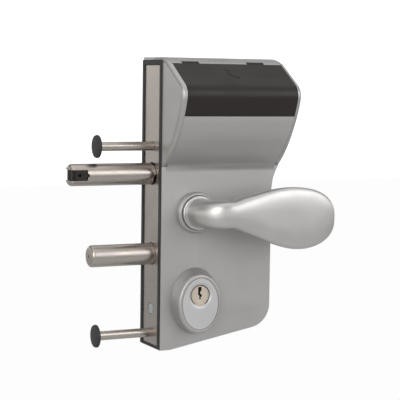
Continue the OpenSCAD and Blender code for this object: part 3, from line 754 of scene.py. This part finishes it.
# %% Pieces that only need their edges broken
edge_breaks = [
    # node, finish, slot, width in millimetres
    ("latch_insert", black_plastic, "black_plastic", 0.3),
    ("latch_insert_pin", stainless, "stainless", 0.25), ("cylinder_body", nickel_brass, "nickel_brass", 0.25),
    ("front_plug", nickel_brass, "nickel_brass", 0.12), ("rear_plug", nickel_brass, "nickel_brass", 0.12),
    ("cover_screws", stainless, "stainless", 0.2), ("mounting_gasket", black_rubber, "black_rubber", 0.25),
    ("keypad_panel", keypad_grey, "keypad_grey", 0.4), ("lid_hinge_pin", stainless, "stainless", 0.15),
    ("fixing_bolts", stainless, "stainless", 0.4), ("faceplate", stainless, "stainless", 0.3),
]
for node, look, slot_name, width in edge_breaks:
    bm = copy_of(node)
    round_edges(bm, width, 2, 50)
    finish_piece(node + "_fine", bm, look, node, weighted=True)

# %% [markdown]
# The latch bolt is slotted at its end, and the two fingers have domed tips. Its measured copy has a plain
# chamfer there, so it is cut across in a few places and each ring is pushed out to a round profile.

# %% Latch bolt with domed fingers
TIP_LENGTH, TIP_DROP = 4.0, 3.0
latch_bm = copy_of("latch_bolt")
latch_end, latch_axis_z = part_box("latch_bolt")[0].x / MM, middle("latch_bolt").z / MM
latch_r = (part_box("latch_bolt")[1].z / MM) - latch_axis_z
for step in (0.04, 0.12, 0.25, 0.45, 0.7):
    slice_plane(latch_bm, ((latch_end + TIP_LENGTH * step) * MM, 0, 0), (1, 0, 0))
domed = 0
for v in latch_bm.verts:
    t = (v.co.x / MM - latch_end) / TIP_LENGTH
    off_y, off_z = v.co.y / MM, v.co.z / MM - latch_axis_z
    radius = (off_y ** 2 + off_z ** 2) ** 0.5
    if t > 0.99 or abs(radius - (latch_r - TIP_DROP * (1 - t))) > 0.1:
        continue
    wanted = latch_r - TIP_DROP + TIP_DROP * (1 - (1 - t) ** 2) ** 0.5
    if abs(off_z) < latch_r / 2:
        v.co.y = (1 if off_y > 0 else -1) * (wanted ** 2 - off_z ** 2) ** 0.5 * MM
    else:
        v.co.y *= wanted / radius
        v.co.z = (latch_axis_z + off_z * wanted / radius) * MM
    domed += 1
finish_piece("latch_bolt_domed", latch_bm, stainless, "latch_bolt", sharp=40,
             weighted=True)
print("points moved on the dome:", domed)

# %% [markdown]
# ## Dead bolt and caps
#
# The dead bolt is a plain turned bar with a rounded end and a small centre hole, and the two black caps are
# shallow domes pressed over the fixing bolts. Both are spun from their profiles.

# %% Dead bolt and caps
bolt_low, bolt_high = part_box("deadbolt")
bolt_r = (bolt_high.z - bolt_low.z) / 2 / MM
bolt_z = middle("deadbolt").z
tip, tail = -bolt_low.x / MM, -bolt_high.x / MM
dead_bm = bmesh.new()
dead_profile = [(5.1, tail), (bolt_r - 0.4, tail), (bolt_r, tail + 0.4)]
dead_profile += corner_arc((bolt_r - 3, tip - 3), 3, 0, 90, 7)
dead_profile += [(1.5, tip), (1.25, tip - 0.25), (1.25, tip - 3), (0, tip - 3.4)]
turn(dead_bm, dead_profile, towards_post(0, bolt_z), 64)
close_holes(dead_bm)
finish_piece("dead_bolt_turned", dead_bm, stainless, "deadbolt", sharp=35)

caps_low, caps_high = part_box("fixing_caps")
cap_tip, cap_back = -caps_low.x / MM, -caps_high.x / MM
CAP_R = 10.0
cap_profile = [(7.25, cap_back), (CAP_R - 0.2, cap_back), (CAP_R, cap_back + 0.3), (CAP_R, cap_back + 1.2),
               (9.6, cap_tip - 0.75), (8.4, cap_tip - 0.3), (5.6, cap_tip - 0.08), (2.6, cap_tip),
               (0, cap_tip)]
caps_bm = bmesh.new()
for centre_z in (caps_low.z + CAP_R * MM, caps_high.z - CAP_R * MM):
    turn(caps_bm, cap_profile, towards_post(0, centre_z), 56)
close_holes(caps_bm)
finish_piece("bolt_caps", caps_bm, black_rubber, "fixing_caps", sharp=40)

# %% [markdown]
# ## Keypad
#
# Under the lid twelve metal buttons stand in two rows on a sloping panel. Each is a turned cap with a dished
# top, so that a finger finds its middle, and carries a painted digit. Two buttons have a plain bar and a
# ring instead. The buttons' places are read from their measured pieces, in the panel's own directions.

# %% Places of the buttons
BUTTON_TOP = 4.2      # a button's top above the height that its profile starts from

out_of_panel = -press.normalized()
panel_turn = Matrix.Rotation(radians(90) - out_of_panel.angle(Vector((0, -1, 0))), 4, "X")
panel_back = panel_turn.inverted()


def panel_points(node):
    """The points of a CAD node in the panel's own directions."""
    return [panel_back @ v.co for v in nodes[node].data.vertices]


def button_place(number, height=None):
    """Move to the middle of a button, where its profile starts or at a given height over the panel."""
    points = panel_points("button_" + str(number))
    x = (min(p.x for p in points) + max(p.x for p in points)) / 2
    y = (min(p.y for p in points) + max(p.y for p in points)) / 2
    if height is None:
        height = max(p.z for p in points) - BUTTON_TOP * MM
    return panel_turn @ Matrix.Translation((x, y, height))


print("the panel is turned by", panel_turn.to_euler().x, "about X")

# %% Buttons with their digits
button_profile = [(0, 3.75), (2.6, 3.8), (3.9, 4.0)] + corner_arc((4.7, 3.4), 0.8, 90, 0, 4) \
    + [(5.5, -3.2), (6.6, -3.3), (6.7, -3.4), (6.7, -4.9), (6.6, -5.0), (2.0, -5.0), (2.0, -13.9),
       (1.8, -14.0), (0, -14.0)]
DIGIT_SIZE, DIGIT_THICK, DIGIT_AT = 6, 0.08, 3.84
marks = ["1", "2", "3", "4", "5", "6", "7", "8", "9", "0", "-", "o"]


def mesh_from(curve):
    """The mesh of a text or a curve with its thickness."""
    holder = add_object("holder", curve)
    mesh = bpy.data.meshes.new_from_object(holder.evaluated_get(bpy.context.evaluated_depsgraph_get()))
    bpy.data.objects.remove(holder)
    return mesh


for number, mark in enumerate(marks, 1):
    node = "button_" + str(number)
    place = button_place(number)
    button_bm = bmesh.new()
    turn(button_bm, button_profile, place, 40)
    finish_piece(node + "_cap", button_bm, button_metal, node, sharp=40)
    letters = bpy.data.curves.new("digit", "FONT")
    letters.body = mark
    letters.size = DIGIT_SIZE * MM
    letters.extrude = DIGIT_THICK * MM
    letters.align_x = "CENTER"
    letters.align_y = "CENTER"
    flat = mesh_from(letters)
    flat.transform(place @ Matrix.Translation((0, 0, DIGIT_AT * MM)))
    flat.materials.clear()
    flat.materials.append(digit_paint)
    digit = add_object("digit_" + str(number), flat)
    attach(digit, body_of_node[node])
print("buttons with marks", marks)

# %% [markdown]
# ## Springs
#
# The measured springs are plain tubes, which is enough for their size. Here each becomes wire wound on a
# helix. The line is a row of points, each turned a little further, and a curve's round bevel makes the wire.
# The latch's spring, which is pressed together as the latch goes in, gets a mesh of its own.

# %% A wound spring
STEPS_A_TURN = 16


def wind(wires, radius, wire, length, turns, place):
    """Add one helix of wire along local Z of `place` to the curve `wires`."""
    count = int(turns * STEPS_A_TURN)
    line = wires.splines.new("POLY")
    line.points.add(count)
    for i in range(count + 1):
        a = radians(360 * turns * i / count)
        p = place @ Vector((radius * cos(a) * MM, radius * sin(a) * MM,
                            (wire + (length - 2 * wire) * i / count) * MM))
        line.points[i].co = (*p, 1)


def spring_piece(name, node, wire, coils):
    """Turn one or more helixes into a piece of round wire."""
    wires = bpy.data.curves.new(name, "CURVE")
    wires.dimensions = "3D"
    wires.bevel_depth = wire * MM
    wires.bevel_resolution = 2
    wires.use_fill_caps = True
    for coil in coils:
        wind(wires, *coil)
    bm = bmesh.new()
    bm.from_mesh(mesh_from(wires))
    return finish_piece(name, bm, zinc_steel, node, sharp=50)


print("points in a turn of wire:", STEPS_A_TURN)

# %% All springs of the lock
LATCH_WIRE, RETURN_WIRE, BUTTON_WIRE = 0.6, 0.65, 0.3

low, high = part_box("latch_spring")
coil_r = (high.z - low.z) / 2 / MM
latch_long = (high.x - low.x) / MM
latch_axis = (Matrix.Translation((low.x, 0, middle("latch_spring").z))
              @ Matrix.Rotation(radians(90), 4, "Y"))
latch_coil = spring_piece("latch_spring_wire", "latch_spring", LATCH_WIRE,
                          [(coil_r - 0.7, LATCH_WIRE, latch_long, 12, latch_axis)])
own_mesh(latch_coil)

low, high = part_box("handle_spring")
coil_r = (high.z - low.z) / 2 / MM
return_axis = (Matrix.Translation((spindle.x, high.y, spindle.z))
               @ Matrix.Rotation(radians(90), 4, "X"))
spring_piece("return_spring_wire", "handle_spring", RETURN_WIRE,
             [(coil_r - 0.75, RETURN_WIRE, (high.y - low.y) / MM, 5, return_axis)])

spring_heights = [p.z for p in panel_points("button_springs")]
spring_z = min(spring_heights)
spring_long = (max(spring_heights) - spring_z) / MM
spring_piece("button_spring_wires", "button_springs", BUTTON_WIRE,
             [(4.2, BUTTON_WIRE, spring_long, 3, button_place(number, spring_z))
              for number in range(1, 13)])

# %% [markdown]
# ## Pieces inside the case
#
# The plates, pillars, carriages and the code mechanism are hidden by the covers. They keep their measured
# meshes and get the finishes of such parts: zinc-plated steel, plain black plastic and brass.

# %% Finishes for the carried-over pieces
inside = {
    "front_case_plate": zinc_steel, "rear_case_plate": zinc_steel, "case_pillars": zinc_steel,
    "bolt_guides": black_plastic, "code_chamber": zinc_steel, "code_chamber_cover": zinc_steel,
    "code_tumblers": nickel_brass, "clutch_link": zinc_steel, "front_grub_screw": black_plastic,
    "rear_grub_screw": black_plastic, "clutch_driver": zinc_steel, "rear_spindle": zinc_steel,
    "follower": zinc_steel, "spindle_bushes": black_plastic, "latch_carriage": zinc_steel,
    "deadbolt_carriage": zinc_steel, "cylinder_screw": zinc_steel, "cylinder_cam": zinc_steel,
}
for node, look in inside.items():
    nodes[node].material_slots[0].material = look
print(len(inside), "inside pieces given a finish")

# %% [markdown]
# ## Floor and light
#
# A plain pale floor lies well below the lock, and light comes from large soft sources, as in a small studio:
# a warm one at the left in front and a wider, cooler one at the right. The world adds a pale band round the
# horizon and is darker above. It and the floor look white to the camera, and only light the lock as grey.

# %% Floor
FLOOR_DROP, FLOOR_HALF = 0.35, 6
floor_z = cad_box[0][2] - FLOOR_DROP
floor_bm = bmesh.new()
bmesh.ops.create_grid(floor_bm, x_segments=1, y_segments=1, size=FLOOR_HALF,
                      matrix=Matrix.Translation((0, 0, floor_z)))
floor_mesh = bpy.data.meshes.new("floor")
floor_bm.to_mesh(floor_mesh)
floor_bm.free()
floor_paint = bpy.data.materials.new("floor_paint")
floor_paint.use_nodes = True
paint_tree = floor_paint.node_tree
floor_shader = paint_tree.nodes["Principled BSDF"]
floor_shader.inputs["Base Color"].default_value = (0.6, 0.6, 0.6, 1)
floor_shader.inputs["Roughness"].default_value = 0.8
floor_glow = paint_tree.nodes.new("ShaderNodeEmission")
floor_glow.inputs["Color"].default_value = (0.98, 0.98, 0.98, 1)
floor_seen = paint_tree.nodes.new("ShaderNodeLightPath")
floor_mix = paint_tree.nodes.new("ShaderNodeMixShader")
floor_out = paint_tree.nodes["Material Output"]
paint_tree.links.new(floor_seen.outputs["Is Camera Ray"], floor_mix.inputs["Fac"])
paint_tree.links.new(floor_shader.outputs["BSDF"], floor_mix.inputs[1])
paint_tree.links.new(floor_glow.outputs["Emission"], floor_mix.inputs[2])
paint_tree.links.new(floor_mix.outputs["Shader"], floor_out.inputs["Surface"])
floor_mesh.materials.append(floor_paint)
floor = add_object("floor", floor_mesh)
print("floor at z", floor_z)

# %% Lights


def softbox(name, at, look_at, size, power_watts, colour=(1, 1, 1)):
    """A large area light at `at`, facing `look_at`."""
    data = bpy.data.lights.new(name, "AREA")
    data.shape = "RECTANGLE"
    data.size, data.size_y = size
    data.energy = power_watts
    data.color = colour
    lamp = add_object(name, data)
    lamp.location = at
    lamp.rotation_euler = (Vector(look_at) - Vector(at)).to_track_quat("-Z", "Y").to_euler()
    print("light", name, power_watts, "W")


softbox("key", (-0.8, -0.75, 0.42), (0.03, 0, 0.03), (0.55, 0.8), 6, (1, 0.985, 0.96))
softbox("fill", (0.85, -1.15, 0.66), (0.05, 0, 0), (1.5, 0.8), 8, (0.97, 0.98, 1))

# %% World
SKY = ((0.0, 0.45), (0.40, 0.40), (0.485, 0.62), (0.53, 0.95), (0.60, 0.80), (0.74, 0.13), (1.0, 0.09))

world = bpy.data.worlds.new("studio")
bpy.context.scene.world = world
world.use_nodes = True
world_tree = world.node_tree
backdrop = world_tree.nodes["Background"]
sky_place = world_tree.nodes.new("ShaderNodeTexCoord")
split = world_tree.nodes.new("ShaderNodeSeparateXYZ")
world_tree.links.new(sky_place.outputs["Generated"], split.inputs["Vector"])
height = world_tree.nodes.new("ShaderNodeMapRange")
height.inputs["From Min"].default_value = -1
world_tree.links.new(split.outputs["Z"], height.inputs["Value"])
tent = world_tree.nodes.new("ShaderNodeValToRGB")
tent.color_ramp.interpolation = "EASE"
for position, grey in SKY:
    stop = tent.color_ramp.elements.new(position)
    stop.color = (grey, grey * 0.99, grey * 0.975, 1)
tent.color_ramp.elements.remove(tent.color_ramp.elements[0])
tent.color_ramp.elements.remove(tent.color_ramp.elements[len(tent.color_ramp.elements) - 1])
world_tree.links.new(height.outputs["Result"], tent.inputs["Fac"])
path = world_tree.nodes.new("ShaderNodeLightPath")
seen = world_tree.nodes.new("ShaderNodeMix")
seen.data_type = "RGBA"
world_tree.links.new(path.outputs["Is Camera Ray"], seen.inputs["Factor"])
world_tree.links.new(tent.outputs["Color"], seen.inputs[MIX_A])
seen.inputs[MIX_B].default_value = (1, 1, 1, 1)
world_tree.links.new(seen.outputs[MIX_RESULT], backdrop.inputs["Color"])
backdrop.inputs["Strength"].default_value = 1.25
bpy.context.scene.view_settings.view_transform = "Standard"
print("steps of grey from the ground to the top of the sky:", len(SKY))
